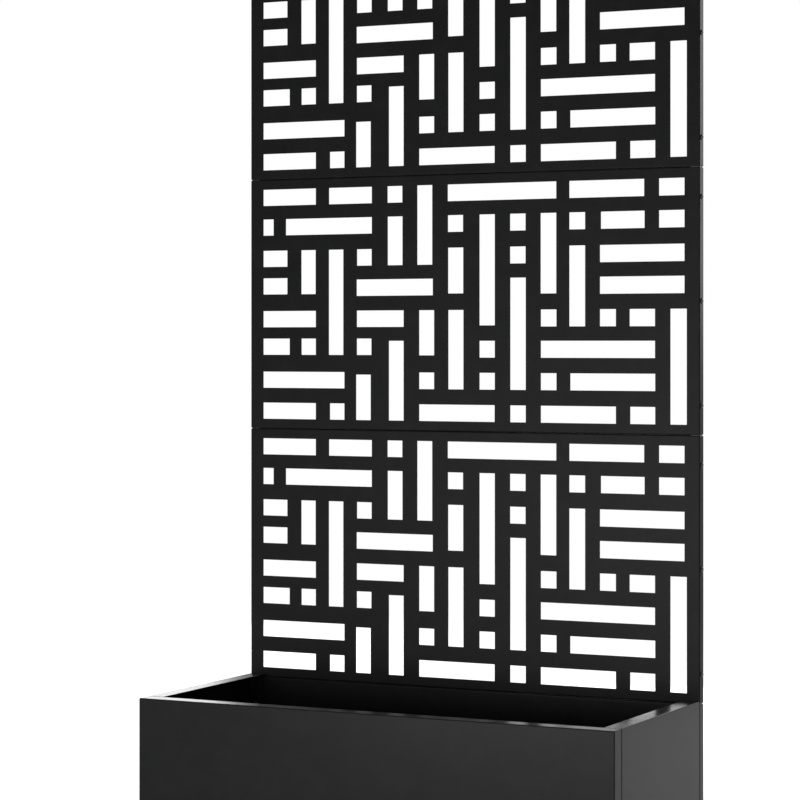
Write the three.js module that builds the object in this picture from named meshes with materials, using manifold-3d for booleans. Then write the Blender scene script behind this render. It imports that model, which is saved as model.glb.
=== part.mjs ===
// Free-standing metal planter with a tall privacy trellis at its back.
//
// The planter is folded from sheet steel: a front pan that wraps round both front corners, two side
// pans, a back pan, and a floor tray on cross members. The trellis is three equal lattice pans stacked
// on the back pan. Two square uprights stand inside the folded sides of that stack, and the lattice
// pans are bolted to them through those sides.
//
// Sizes are in millimetres. X runs to the right, Y to the back and Z up. The origin is on the floor
// under the middle of the whole object.
import * as THREE from 'three';
import { mergeVertices } from 'three/addons/utils/BufferGeometryUtils.js';
import Module from 'manifold-3d';

const wasm = await Module();
wasm.setup();

// ---- Sizes ----------------------------------------------------------------------------------

const width = 1170; // planter and trellis, over the sheet
const depth = 541; // front of the planter to the back of the trellis
const rim_height = 420; // floor to the planter's rim
const sheet = 1.5; // steel sheet
const bend = 3; // outer radius of a fold
const clearance = 0.3; // between pieces that touch

const panel_count = 3;
const panel_pitch = 610; // one lattice pan to the next
const panel_seam = 0.6; // gap between stacked pans
const frame_depth = 24; // folded edges of the lattice pans and the back pan
const trellis_drop = 7; // the trellis starts this far below the rim

const corner_return = 38; // edges of the front pan, folded back
const side_rim = 40; // side pans, folded in at the rim
const side_flange = 25; // side pans, folded in at both ends
const bottom_return = 37; // side pans and back pan, folded in at the bottom
const corner_gap = 2; // open joint between the front pan and a side pan

const upright_wall = 1.5;
const sleeve_length = 120; // joins the two halves of an upright
const sleeve_wall = 1.5;
const cap_head = 2;
const cap_stem = 15;

const bracket_sheet = 2;
const bracket_leg = 30;
const bracket_drop = 8; // below the rim's sheet

const member_width = 30; // cross members under the floor tray
const member_height = 15;
const member_wall = 1.5;
const member_end_gap = 2; // clear of the folds at both ends
const member_offset = 350; // outer cross members, from the middle
const tray_edge = 30; // turned-up edge of the floor tray
const tray_margin = 4; // from the tray to the walls
const tray_headroom = 8; // from the tray's edge up to the flanges and brackets in the corners
const drain_columns = 4;
const drain_rows = 2;
const drain_radius = 7;

const foot_height = 15;
const foot_radius = 16;
const foot_taper = 2;
const foot_stem_radius = 4;
const foot_stem_rise = 6; // above the sheet it is pushed through
const foot_hole_slack = 0.5; // hole radius over stem radius
const foot_inset = 22; // from the side of the planter to the middle of a foot

const bolt_radius = 3;
const bolt_head_radius = 6;
const bolt_head_height = 3.3;
const bolt_hole_slack = 0.3; // hole radius over bolt radius
const bolt_tail = 5; // bolt beyond the last wall it goes through
const socket_radius = 2.1;
const socket_depth = 1.6;
const nut_height = 5;
const nut_radius = 5.5;
const stud_tail = 2; // stud beyond its nut
const lattice_bolt_levels = { low: 0.11, mid: 0.5, high: 0.89 }; // up a lattice pan's sides
const corner_levels = { lower: 0.28, upper: 0.82 }; // up the planter's corners

const small_sides = 10; // facets round a bolt, a hole or a nut's bore
const bend_steps = 3; // facets in a fold
const least_radius = 0.5; // inside a tube's corners

// The lattice is drawn for a pan of this size and is stretched to the real one. Its slots lie in rows,
// given by the distance from the pan's top edge to the top of the row. Two of the rows are a little
// higher at the left, up to a distance from the pan's left edge.
const pattern_width = 1170;
const pattern_height = 609.4;
const slot = 39.5;
const row_top = [24, 97, 174, 247, 322, 395, 470.5, 546.5];
const raised_up_to = { 4: 265, 6: 340 };
const raised_by = 5.5;

const row = (number, x) => row_top[number - 1] - (x < raised_up_to[number] ? raised_by : 0);

// A slot along one row, a square slot, and a slot down from one row to another. A slot that goes down
// can start later or end shorter than its rows.
const across = (number, left, right) => (
  { left, right, top: row(number, left), bottom: row(number, left) + slot });
const square = (number, left) => across(number, left, left + slot);
const down = (first, last, left, { later = 0, shorter = 0 } = {}) => ({
  left, right: left + slot, top: row(first, left) + later, bottom: row(last, left) + slot - shorter,
});

const pattern = [
  across(1, 35.5, 181.5), across(1, 218, 334.5), square(1, 377), down(1, 3, 456.5),
  across(1, 537, 816.5), across(1, 849.5, 1035), across(1, 1071.5, 1133),
  across(2, 35.5, 64), across(2, 98.5, 334.5), down(2, 3, 377.5), square(2, 537.5),
  down(2, 5, 620, { shorter: 3 }), square(2, 699), down(2, 4, 777, { shorter: 2 }),
  square(2, 849.5), across(2, 928.5, 1036), across(2, 1071.5, 1133),
  across(3, 35.5, 102.5), down(3, 4, 141.5), down(3, 6, 217.5), square(3, 294.5),
  down(3, 4, 538, { shorter: 4 }), square(3, 699), down(3, 5, 849.5), across(3, 926, 1133),
  across(4, 35.5, 102.5), across(4, 293.5, 497.5), down(4, 7, 699.5), across(4, 926, 1133),
  across(5, 35.5, 181.5), across(5, 294, 420), down(5, 6, 461.5, { shorter: 5 }),
  down(5, 7, 538.5), square(5, 777.5), square(5, 926), across(5, 999.5, 1061.5),
  down(5, 8, 1099),
  across(6, 35.5, 109), square(6, 142), square(6, 294), down(6, 8, 380.5), square(6, 620),
  across(6, 777.5, 1061.5),
  across(7, 35.5, 260), down(7, 8, 292, { later: 6 }), square(7, 461.5), square(7, 620),
  square(7, 777.5), across(7, 852, 1062),
  across(8, 35.5, 181.5), square(8, 220.5), across(8, 461.5, 659), square(8, 699.5),
  across(8, 777.5, 965.5), across(8, 1001, 1062),
];

// ---- Places that several pieces share. What stands at a side is drawn at the right. ----------

const half = width / 2;
const front = -depth / 2;
const back = depth / 2;
const face = back - frame_depth; // front of the lattice pans and the back pan
const underside = foot_height; // bottom of the planter's sheet
const trellis_base = rim_height - trellis_drop;
const trellis_top = trellis_base + panel_count * panel_pitch;
const panel_height = panel_pitch - panel_seam;

const upright_size = frame_depth - sheet - clearance;
const upright_x = half - sheet - clearance - upright_size / 2;
const upright_y = back - upright_size / 2;
const upright_bore = upright_size - 2 * upright_wall;
const upright_joint = trellis_base + panel_pitch;
const folds_end = upright_x - upright_size / 2 - clearance; // the pans' top and bottom folds

const side_front = front + corner_return + corner_gap; // front end of a side pan
const side_back = face - clearance;
const member_base = underside + sheet + clearance;
const tray_base = member_base + member_height + clearance;
const above_tray = tray_base + tray_edge + tray_headroom;
const inner_wall = half - sheet - clearance; // for what lies against the inside of a side

const bolt_hole_radius = bolt_radius + bolt_hole_slack;
const corner_height = (share) => underside + share * (rim_height - underside);

const feet = {
  front: [half - foot_inset, front + corner_return / 2],
  back: [half - foot_inset, face - bottom_return / 2],
};
// Where each bolt's head or nut sits, and which way it points.
const lattice_bolts = Object.entries(lattice_bolt_levels).map(([name, share]) => (
  { name, at: [half, face + frame_depth / 2, share * panel_height], to: [1, 0, 0] }));
const back_bolts = Object.entries(corner_levels).map(([name, share]) => (
  { name, at: [upright_x, side_back - sheet, corner_height(share)], to: [0, -1, 0] }));
const corner_bolts = Object.entries(corner_levels).map(([name, share]) => (
  { name, at: [half - bracket_leg / 2, side_front + sheet, corner_height(share)], to: [0, 1, 0] }));
const corner_nuts = Object.entries(corner_levels).map(([name, share]) => ({
  name,
  at: [inner_wall - bracket_sheet, front + corner_return / 2, corner_height(share)],
  to: [-1, 0, 0],
}));

// ---- Shapes ---------------------------------------------------------------------------------

// A closed three.js geometry as a solid that can be cut and joined.
function solid(geometry) {
  const bare = new THREE.BufferGeometry();
  bare.setAttribute('position', geometry.getAttribute('position').clone());
  bare.setIndex(geometry.index);
  const merged = mergeVertices(bare, 1e-4);
  return new wasm.Manifold(new wasm.Mesh({
    numProp: 3,
    vertProperties: new Float32Array(merged.getAttribute('position').array),
    triVerts: new Uint32Array(merged.index.array),
  }));
}

// A solid as a three.js geometry again.
function geometry_of(piece) {
  const mesh = piece.getMesh();
  const geometry = new THREE.BufferGeometry();
  geometry.setAttribute('position', new THREE.BufferAttribute(
    new Float32Array(mesh.vertProperties), mesh.numProp));
  geometry.setIndex(new THREE.BufferAttribute(new Uint32Array(mesh.triVerts), 1));
  geometry.computeVertexNormals();
  return geometry;
}

const joined = (pieces) => pieces.reduce((sum, piece) => sum.add(piece));
const cut = (piece, cutters) => cutters.reduce((rest, cutter) => rest.subtract(cutter), piece);

// A plain block from its low and high ends along X, Y and Z.
function block([x0, x1], [y0, y1], [z0, z1]) {
  const geometry = new THREE.BoxGeometry(x1 - x0, y1 - y0, z1 - z0);
  geometry.translate((x0 + x1) / 2, (y0 + y1) / 2, (z0 + z1) / 2);
  return solid(geometry);
}

// A rectangle with some corners rounded. 'ab' is the corner at both low ends, 'Ab' is at the high end
// of a and the low end of b, and so on.
function rounded_outline([a0, a1], [b0, b1], radius, corners) {
  const shape = new THREE.Shape();
  const corner = (name, a, b, start) => {
    if (corners.includes(name)) {
      const [da, db] = [name[0] === 'a' ? radius : -radius, name[1] === 'b' ? radius : -radius];
      shape.absarc(a + da, b + db, radius, start, start + Math.PI / 2, false);
    } else {
      shape.lineTo(a, b);
    }
  };
  shape.moveTo((a0 + a1) / 2, b0);
  corner('Ab', a1, b0, -Math.PI / 2);
  corner('AB', a1, b1, 0);
  corner('aB', a0, b1, Math.PI / 2);
  corner('ab', a0, b0, Math.PI);
  return shape;
}

const every_corner = ['ab', 'Ab', 'AB', 'aB'];

// A block with rounded edges along X, where its outline lies in Y and Z, or along Z, where its outline
// lies in X and Y.
function rounded_block(along, x, y, z, radius, corners = every_corner) {
  const [outline, [from, to]] = along === 'x'
    ? [rounded_outline(y, z, radius, corners), x] : [rounded_outline(x, y, radius, corners), z];
  const geometry = new THREE.ExtrudeGeometry(
    outline, { depth: to - from, bevelEnabled: false, curveSegments: bend_steps });
  geometry.translate(0, 0, from);
  if (along === 'x') {
    geometry.applyMatrix4(new THREE.Matrix4().makeBasis(
      new THREE.Vector3(0, 1, 0), new THREE.Vector3(0, 0, 1), new THREE.Vector3(1, 0, 0)));
  }
  return solid(geometry);
}

// A closed profile of [radius, height] points turned about Y.
function turned(profile, sides) {
  return new THREE.LatheGeometry(
    [...profile, profile[0]].map(([r, h]) => new THREE.Vector2(r, h)), sides);
}

// Turns a geometry drawn along Y so that it points another way, and moves it there.
function aim(geometry, at, to) {
  geometry.applyQuaternion(new THREE.Quaternion().setFromUnitVectors(
    new THREE.Vector3(0, 1, 0), new THREE.Vector3(...to)));
  geometry.translate(...at);
  return solid(geometry);
}

const rod_geometry = (radius, from, to, sides = small_sides) =>
  turned([[0, from], [radius, from], [radius, to], [0, to]], sides);

const rod = (radius, { at, to }, from, reach) => aim(rod_geometry(radius, from, reach), at, to);

// A cutter for a bolt's hole, from just outside the face that its head sits on to a depth.
const bolt_cutter = (place, deep) => rod(bolt_hole_radius, place, -deep, 1);

// The same places at the left.
const mirrored = ({ at: [x, y, z], to: [dx, dy, dz] }) => ({ at: [-x, y, z], to: [-dx, dy, dz] });
const both_sides = (places) => [...places, ...places.map(mirrored)];

// A folded pan with its face to the front and its four edges folded to the back.
function pan(x, y, z) {
  const inner = ([low, high], inset) => [low + inset, high - inset];
  const filled = (inset, open) => rounded_block(
    'z', inner(x, inset), [y[0] + inset, y[1] + open], inner(z, inset), bend - inset, ['ab', 'Ab'],
  ).intersect(rounded_block(
    'x', inner(x, inset), [y[0] + inset, y[1] + open], inner(z, inset), bend - inset, ['ab', 'aB']));
  return filled(0, 0).subtract(filled(sheet, 1));
}

// ---- Trellis --------------------------------------------------------------------------------

// A pan whose top and bottom folds stop short of the uprights that stand in it.
function upright_pan(z) {
  const notch = ([low, high]) => [
    block([folds_end, half - sheet], [face + sheet, back + 1], [low, high]),
    block([sheet - half, -folds_end], [face + sheet, back + 1], [low, high]),
  ];
  return cut(pan([-half, half], [face, back], z), [
    ...notch([z[0] - 1, z[0] + bend]), ...notch([z[1] - bend, z[1] + 1])]);
}

// One lattice pan, from its own bottom edge.
function lattice_panel() {
  const across_scale = width / pattern_width;
  const down_scale = panel_height / pattern_height;
  const slots = pattern.map(({ left, right, top, bottom }) => block(
    [-half + left * across_scale, -half + right * across_scale], [face - 1, face + sheet + 1],
    [panel_height - bottom * down_scale, panel_height - top * down_scale]));
  return upright_pan([0, panel_height]).subtract(joined(slots))
    .subtract(joined(both_sides(lattice_bolts).map((place) => bolt_cutter(place, sheet + 1))));
}

// A square bar, or with a wall a square tube, round the middle line of the right upright.
function upright_bar(size, radius, [low, high], wall = 0) {
  const bar = (inset, more) => rounded_block(
    'z', [upright_x - size / 2 + inset, upright_x + size / 2 - inset],
    [upright_y - size / 2 + inset, upright_y + size / 2 - inset], [low - more, high + more],
    Math.max(radius - inset, least_radius));
  return wall ? bar(0, 0).subtract(bar(wall, 1)) : bar(0, 0);
}

const panel_levels = [...Array(panel_count).keys()].map((index) =>
  trellis_base + index * panel_pitch + panel_seam / 2);
const raised = ({ name, at: [x, y, z], to }, by) => ({ name, at: [x, y, z + by], to });

// A length of the right upright, with the holes for the bolts that reach it.
function upright([low, high]) {
  const side_holes = panel_levels
    .flatMap((level) => lattice_bolts.map((place) => raised(place, level)))
    .map((place) => ({ place, deep: sheet + clearance + upright_wall + 1 }));
  const front_holes = back_bolts
    .map((place) => ({ place, deep: 2 * (sheet + clearance) + upright_wall + 1 }));
  const holes = [...side_holes, ...front_holes]
    .filter(({ place }) => place.at[2] > low && place.at[2] < high)
    .map(({ place, deep }) => bolt_cutter(place, deep));
  return cut(upright_bar(upright_size, bend, [low, high], upright_wall), holes);
}

const upright_lower = () => upright([underside, upright_joint - clearance / 2]);
const upright_upper = () => upright(
  [upright_joint + clearance / 2, trellis_top - cap_head - clearance]);

function upright_sleeve() {
  return upright_bar(upright_bore - 2 * clearance, bend - upright_wall,
    [upright_joint - sleeve_length / 2, upright_joint + sleeve_length / 2], sleeve_wall);
}

function upright_cap() {
  const seat = trellis_top - cap_head;
  return upright_bar(upright_size, bend, [seat, trellis_top]).add(upright_bar(
    upright_bore - 2 * clearance, bend - upright_wall, [seat - cap_stem, seat + cap_head / 2]));
}

// ---- Fixings --------------------------------------------------------------------------------

// A button-head bolt along Y, with its head's seat at zero and its shank below.
function bolt(walls) {
  const head = bolt_head_height + clearance;
  const button = turned([
    [0, -walls - bolt_tail], [bolt_radius, -walls - bolt_tail], [bolt_radius, clearance],
    [bolt_head_radius, clearance], [bolt_head_radius * 0.9, clearance + bolt_head_height * 0.55],
    [bolt_head_radius * 0.55, head], [0, head],
  ], small_sides);
  return solid(button).subtract(solid(rod_geometry(socket_radius, head - socket_depth, head + 1, 6)));
}

// A hexagon nut along Y, with its seat at zero.
function nut() {
  return solid(rod_geometry(nut_radius, clearance, clearance + nut_height, 6))
    .subtract(solid(rod_geometry(bolt_hole_radius, clearance - 1, clearance + nut_height + 1)));
}

// ---- Planter --------------------------------------------------------------------------------

const foot_holes = (feet_here) => both_sides(
  feet_here.map(([x, y]) => ({ at: [x, y, underside], to: [0, 0, 1] })),
).map((place) => rod(foot_stem_radius + foot_hole_slack, place, -1, sheet + 1));

// The front pan. Studs welded inside its returns take the corner brackets.
function front_panel() {
  const stud_reach = clearance + nut_height + stud_tail;
  const weld = bracket_sheet + clearance + sheet / 2;
  const studs = both_sides(corner_nuts).map((place) => rod(bolt_radius, place, -weld, stud_reach));
  const folded = pan([-half, half], [front, front + corner_return], [underside, rim_height]);
  return cut(joined([folded, ...studs]), foot_holes([feet.front]));
}

// A side pan, drawn with its face to the front and its front end at the left. It is folded deep all
// round and then each fold is cut to its own depth. The bottom fold makes room for the back pan's, and
// the end folds start above the tray.
function side_panel() {
  const length = side_back - side_front;
  const deepest = Math.max(side_rim, side_flange, bottom_return);
  const trimmed = (x, z, fold) => block(x, [fold, deepest + 1], z);
  const ends = [[-1, sheet], [length - sheet, length + 1]];
  const bolts = [...corner_bolts, ...back_bolts].map(({ at: [x, y, z] }) => (
    { at: [y - side_front, half - x, z], to: [1, 0, 0] }));
  return cut(pan([0, length], [0, deepest], [underside, rim_height]), [
    trimmed([-1, length + 1], [rim_height - sheet, rim_height + 1], side_rim),
    trimmed([-1, length + 1], [underside - 1, underside + sheet], bottom_return),
    trimmed([length - bottom_return - clearance, length + 1], [underside - 1, underside + bend],
      sheet),
    ...ends.map((x) => trimmed(x, [underside + sheet, above_tray], sheet)),
    ...ends.map((x) => trimmed(x, [underside, rim_height - sheet], side_flange)),
    ...bolts.map((place) => rod(bolt_hole_radius, place, -sheet - 1, sheet + 1)),
  ]);
}

// The back pan. Its bottom edge is folded forwards, as a ledge for the cross members.
function back_panel() {
  const spare = bend + 1; // drawn below the underside and cut off with the fold there
  const folded = upright_pan([underside - spare, trellis_base - panel_seam / 2]);
  const cut_off = block([-half - 1, half + 1], [face - 1, back + 1],
    [underside - spare - 1, underside]);
  const ledge = block([-inner_wall, inner_wall], [face - bottom_return, face + sheet],
    [underside, underside + sheet]);
  return cut(folded.subtract(cut_off).add(ledge), [
    ...both_sides(back_bolts).map((place) => bolt_cutter(place, 2 * sheet + clearance + 1)),
    ...foot_holes([feet.back]),
  ]);
}

// The angle that ties a side pan's front flange to the front pan's return.
function corner_bracket() {
  const end = side_front - clearance;
  const height = [above_tray, rim_height - sheet - bracket_drop];
  const angle = block([inner_wall - bracket_sheet, inner_wall], [end - bracket_leg, end], height)
    .add(block([inner_wall - bracket_leg, inner_wall], [end - bracket_sheet, end], height));
  return cut(angle, [
    ...corner_nuts.map((place) => rod(bolt_hole_radius, place, -bracket_sheet - 1, 1)),
    ...corner_bolts.map((place) => bolt_cutter(place, sheet + clearance + bracket_sheet + 1)),
  ]);
}

// A square-cut tube from front to back, drawn in the middle.
function cross_member() {
  const tube = (inset, more) => block(
    [inset - member_width / 2, member_width / 2 - inset],
    [front + sheet + member_end_gap - more, face - member_end_gap + more],
    [member_base + inset, member_base + member_height - inset]);
  return tube(0, 0).subtract(tube(member_wall, member_end_gap));
}

function floor_tray() {
  const x = half - sheet - tray_margin;
  const [y0, y1] = [front + sheet + tray_margin, side_back - sheet - tray_margin];
  const filled = (inset, low, high) => rounded_block(
    'z', [inset - x, x - inset], [y0 + inset, y1 - inset], [low, high], bend - inset);
  const drains = [...Array(drain_columns * drain_rows).keys()].map((order) => {
    const [column, line] = [order % drain_columns, Math.floor(order / drain_columns)];
    const at = [
      x * ((2 * column + 1) / drain_columns - 1), y0 + (y1 - y0) * ((line + 0.5) / drain_rows),
      tray_base];
    return rod(drain_radius, { at, to: [0, 0, 1] }, -1, sheet + 1);
  });
  return cut(filled(0, tray_base, tray_base + tray_edge)
    .subtract(filled(sheet, tray_base + sheet, tray_base + tray_edge + 1)), drains);
}

// A foot with the stem that holds it in its hole, from the floor up along Y.
function foot() {
  const top = foot_height - clearance;
  const stem_top = underside + sheet + foot_stem_rise;
  return solid(turned([
    [0, 0], [foot_radius - 1, 0], [foot_radius, 1.5], [foot_radius - foot_taper, top],
    [foot_stem_radius, top], [foot_stem_radius, stem_top - 1], [foot_stem_radius - 1, stem_top],
    [0, stem_top],
  ], small_sides * 2));
}

// ---- Assembly -------------------------------------------------------------------------------

const finish = (name, color, roughness, metalness) => new THREE.MeshStandardMaterial(
  { name, color, roughness, metalness });

const planter_coat = finish('planter_coat', 0x26262a, 0.42, 0.35);
const lattice_coat = finish('lattice_coat', 0x202022, 0.5, 0.3);
const upright_coat = finish('upright_coat', 0x222226, 0.45, 0.3);
const tray_coat = finish('tray_coat', 0x1c1c1e, 0.6, 0.3);
const black_bolt = finish('black_bolt', 0x18181a, 0.35, 0.6);
const zinc_nut = finish('zinc_nut', 0x9a9ca0, 0.35, 0.9);
const black_plastic = finish('black_plastic', 0x161617, 0.65, 0);

// Adds a named copy of a geometry. One that was drawn along Y can be aimed another way.
function add(group, name, material, geometry, at = [0, 0, 0], to = [0, 1, 0]) {
  const mesh = new THREE.Mesh(geometry, material);
  mesh.name = name;
  mesh.position.set(...at);
  mesh.quaternion.setFromUnitVectors(new THREE.Vector3(0, 1, 0), new THREE.Vector3(...to));
  group.add(mesh);
  return mesh;
}

const object = new THREE.Group();
object.name = 'planter_with_trellis';

const panel_names = ['bottom', 'middle', 'top'];
const lattice = geometry_of(lattice_panel());
panel_levels.forEach((level, index) => {
  add(object, `lattice_panel_${panel_names[index]}`, lattice_coat, lattice, [0, 0, level]);
});
add(object, 'front_panel', planter_coat, geometry_of(front_panel()));
add(object, 'back_panel', planter_coat, geometry_of(back_panel()));
add(object, 'floor_tray', tray_coat, geometry_of(floor_tray()));
const member = geometry_of(cross_member());
add(object, 'cross_member_left', tray_coat, member, [-member_offset, 0, 0]);
add(object, 'cross_member_middle', tray_coat, member);
add(object, 'cross_member_right', tray_coat, member, [member_offset, 0, 0]);

const side_geometry = {
  panel: geometry_of(side_panel()),
  bracket: geometry_of(corner_bracket()),
  upright_lower: geometry_of(upright_lower()),
  upright_upper: geometry_of(upright_upper()),
  sleeve: geometry_of(upright_sleeve()),
  cap: geometry_of(upright_cap()),
  foot: geometry_of(foot()),
  nut: geometry_of(nut()),
  lattice_bolt: geometry_of(bolt(sheet + clearance + upright_wall)),
  corner_bolt: geometry_of(bolt(sheet + clearance + bracket_sheet)),
  back_bolt: geometry_of(bolt(2 * (sheet + clearance) + upright_wall)),
};

// Everything that stands at one side. It is drawn at the right, and the left is its mirror image.
function side(hand) {
  const group = new THREE.Group();
  group.name = `${hand}_side`;
  if (hand === 'left') group.scale.x = -1;

  const panel = add(group, `${hand}_panel`, planter_coat, side_geometry.panel,
    [half, side_front, 0]);
  panel.rotation.set(0, 0, Math.PI / 2);
  add(group, `corner_bracket_${hand}`, upright_coat, side_geometry.bracket);
  add(group, `upright_lower_${hand}`, upright_coat, side_geometry.upright_lower);
  add(group, `upright_upper_${hand}`, upright_coat, side_geometry.upright_upper);
  add(group, `upright_sleeve_${hand}`, upright_coat, side_geometry.sleeve);
  add(group, `upright_cap_${hand}`, black_plastic, side_geometry.cap);

  for (const [name, [x, y]] of Object.entries(feet)) {
    add(group, `foot_${name}_${hand}`, black_plastic, side_geometry.foot, [x, y, 0], [0, 0, 1]);
  }
  for (const { name, at, to } of corner_nuts) {
    add(group, `corner_nut_${hand}_${name}`, zinc_nut, side_geometry.nut, at, to);
  }
  for (const { name, at, to } of corner_bolts) {
    add(group, `corner_bolt_${hand}_${name}`, black_bolt, side_geometry.corner_bolt, at, to);
  }
  for (const { name, at, to } of back_bolts) {
    add(group, `back_bolt_${hand}_${name}`, black_bolt, side_geometry.back_bolt, at, to);
  }
  panel_levels.forEach((level, index) => {
    for (const place of lattice_bolts) {
      const { name, at, to } = raised(place, level);
      add(group, `lattice_bolt_${panel_names[index]}_${hand}_${name}`, black_bolt,
        side_geometry.lattice_bolt, at, to);
    }
  });
  return group;
}

object.add(side('left'), side('right'));

export default object;
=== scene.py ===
import math

import bmesh
import bpy
from mathutils import Matrix, Vector


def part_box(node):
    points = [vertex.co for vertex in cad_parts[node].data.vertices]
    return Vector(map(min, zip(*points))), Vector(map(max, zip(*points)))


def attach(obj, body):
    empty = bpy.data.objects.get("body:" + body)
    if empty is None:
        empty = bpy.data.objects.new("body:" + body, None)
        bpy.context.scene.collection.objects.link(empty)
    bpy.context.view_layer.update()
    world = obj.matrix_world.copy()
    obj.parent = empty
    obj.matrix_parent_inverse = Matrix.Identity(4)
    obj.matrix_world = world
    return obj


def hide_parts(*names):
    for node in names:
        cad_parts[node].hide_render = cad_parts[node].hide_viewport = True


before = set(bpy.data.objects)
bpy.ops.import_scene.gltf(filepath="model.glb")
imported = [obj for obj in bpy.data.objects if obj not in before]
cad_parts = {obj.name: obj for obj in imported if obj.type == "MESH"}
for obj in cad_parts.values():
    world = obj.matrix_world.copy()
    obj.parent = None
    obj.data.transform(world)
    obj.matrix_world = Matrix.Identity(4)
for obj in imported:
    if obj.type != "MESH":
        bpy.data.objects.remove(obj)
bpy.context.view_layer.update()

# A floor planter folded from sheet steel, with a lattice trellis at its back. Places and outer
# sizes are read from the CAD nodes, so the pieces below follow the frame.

MM = 0.001

# ---- Sizes that the frame doesn't hold, in metres -----------------------------------------------

SHEET = 1.5 * MM
FOLD_RADIUS = 3.0 * MM
FIT_GAP = 0.3 * MM
SIDE_FLANGE = 25 * MM
BOTTOM_RETURN = 37 * MM
RELIEF = 2 * MM  # notch at both ends of the back pan's ledge
FOLD_CLEARANCE = 1 * MM  # from the back pan's side folds to the ends of its ledge
ANGLE_WALL = 2 * MM
ANGLE_RADIUS = 4 * MM  # outside, at the fold of a corner angle
CROSS_TUBE_RADIUS = 2 * MM
DRAIN_RADIUS = 7 * MM
DRAIN_COLUMNS = (-0.75, -0.25, 0.25, 0.75)  # shares of the tray's half width
DRAIN_ROWS = (0.25, 0.75)  # shares of the tray's depth
STEM_HOLE = 4.5 * MM

BOLT_RADIUS = 3.0 * MM
BOLT_HOLE = 3.3 * MM
HEAD_RADIUS = 6.0 * MM
HEAD_HEIGHT = 3.3 * MM
HEAD_FLAT = 3.0 * MM  # radius of the flat on top of a button head
HEAD_FALL = 2.7 * MM  # from that flat down to the head's rim
HEAD_CHAMFER = 0.1 * MM
SOCKET_RADIUS = 2.31 * MM
SOCKET_DEPTH = 1.8 * MM
THREAD_PITCH = 1.0 * MM
THREAD_DEPTH = 0.45 * MM
THREAD_LEAD = 0.5 * MM  # how much thinner a thread's end is
STUD_OVERHANG = 2 * MM  # how far a stud comes out of its nut
NUT_RADIUS = 5.5 * MM
NUT_HEIGHT = 5.0 * MM
NUT_BORE = 3.1 * MM
NUT_FACE = 0.98  # share of the flats' reach where a nut's turned-down face begins
NUT_TURN_DOWN = 1.9  # how steeply its corners are turned down

CAP_RADIUS = 3 * MM  # corners of a cap's head, seen from above
CAP_ROUND = 0.9 * MM  # top edge of the head
CAP_SIDE = 1.1 * MM  # the head's height below that edge
CAP_CHAMFER = 0.3 * MM
CAP_CORE_RADIUS = 1.5 * MM
CAP_TIP_RADIUS = 0.8 * MM
CAP_TIP_CHAMFER = 1 * MM
CAP_FIN_RADIUS = 2 * MM
CAP_FIN_DEPTH = 0.9 * MM
CAP_FIN_COUNT = 3
CAP_FIN_START = 0.8 * MM
CAP_FIN_PITCH = 4.4 * MM
CAP_FIN_SLOPE = 1.4 * MM  # height of a fin's lower side, which slides in
CAP_FIN_LAND = 0.8 * MM
CAP_FIN_BACK = 0.4 * MM

# ---- How finely the pieces are made -------------------------------------------------------------

SAME_PLACE = 1e-6  # points closer than this are one
CUT_REACH = 2.0 * MM  # how far a cutter runs past what it cuts
CUT_MARGIN = 0.1 * MM  # how far it runs past a face that has to go with it
CUT_MERGE = 0.004 * MM  # corners left closer than this by a cut are merged
TUBE_MERGE = 0.001 * MM
NODE_MERGE = 0.01 * MM  # corners of a CAD node's loose triangles
SQUARE_ON = 0.999  # a face looks along an axis if its normal has this much of it
FLAT = math.radians(1)  # faces that meet flatter than this are one
SHARP = math.radians(40)  # edges sharper than this are broken
FOLD_STEPS = 6
HOLE_SIDES = 32
BOLT_SIDES = 24
NUT_SIDES = 36
FOOT_SIDES = 48
DOME_STEPS = 6
CAP_ROUND_STEPS = 4
THREAD_ROWS = 4  # for each turn of a thread
EDGE_BREAK = 0.28 * MM  # rounding of a coated cut edge
BOLT_BREAK = 0.1 * MM
NUT_BREAK = 0.05 * MM
CAP_BREAK = 0.08 * MM
FOOT_BREAK = 0.12 * MM

# ---- Camera -------------------------------------------------------------------------------------

PHOTO_SIZE = 800
FOCAL_PIXELS = 2655.0
HORIZON_PIXEL = 342.4  # the camera is level, so the horizon's row sets the shift
CAMERA_AT = Vector((2.6615, -5.444, 1.234))
CAMERA_TURN = math.radians(26.49)
SENSOR_WIDTH = 36.0  # in mm
FARTHEST_SEEN = 60.0


def make_camera():
    data = bpy.data.cameras.new("camera")
    data.sensor_width = SENSOR_WIDTH
    data.lens = FOCAL_PIXELS / PHOTO_SIZE * SENSOR_WIDTH
    data.shift_y = (HORIZON_PIXEL - PHOTO_SIZE / 2) / PHOTO_SIZE
    data.clip_end = FARTHEST_SEEN
    camera = bpy.data.objects.new("camera", data)
    camera.location = CAMERA_AT
    camera.rotation_euler = (math.pi / 2, 0.0, CAMERA_TURN)
    bpy.context.scene.collection.objects.link(camera)
    bpy.context.scene.camera = camera


# ---- Finishes -----------------------------------------------------------------------------------

MIX_FACTOR, MIX_FIRST, MIX_SECOND, MIX_RESULT = 0, 6, 7, 2  # a Mix node's sockets for colour


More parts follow.
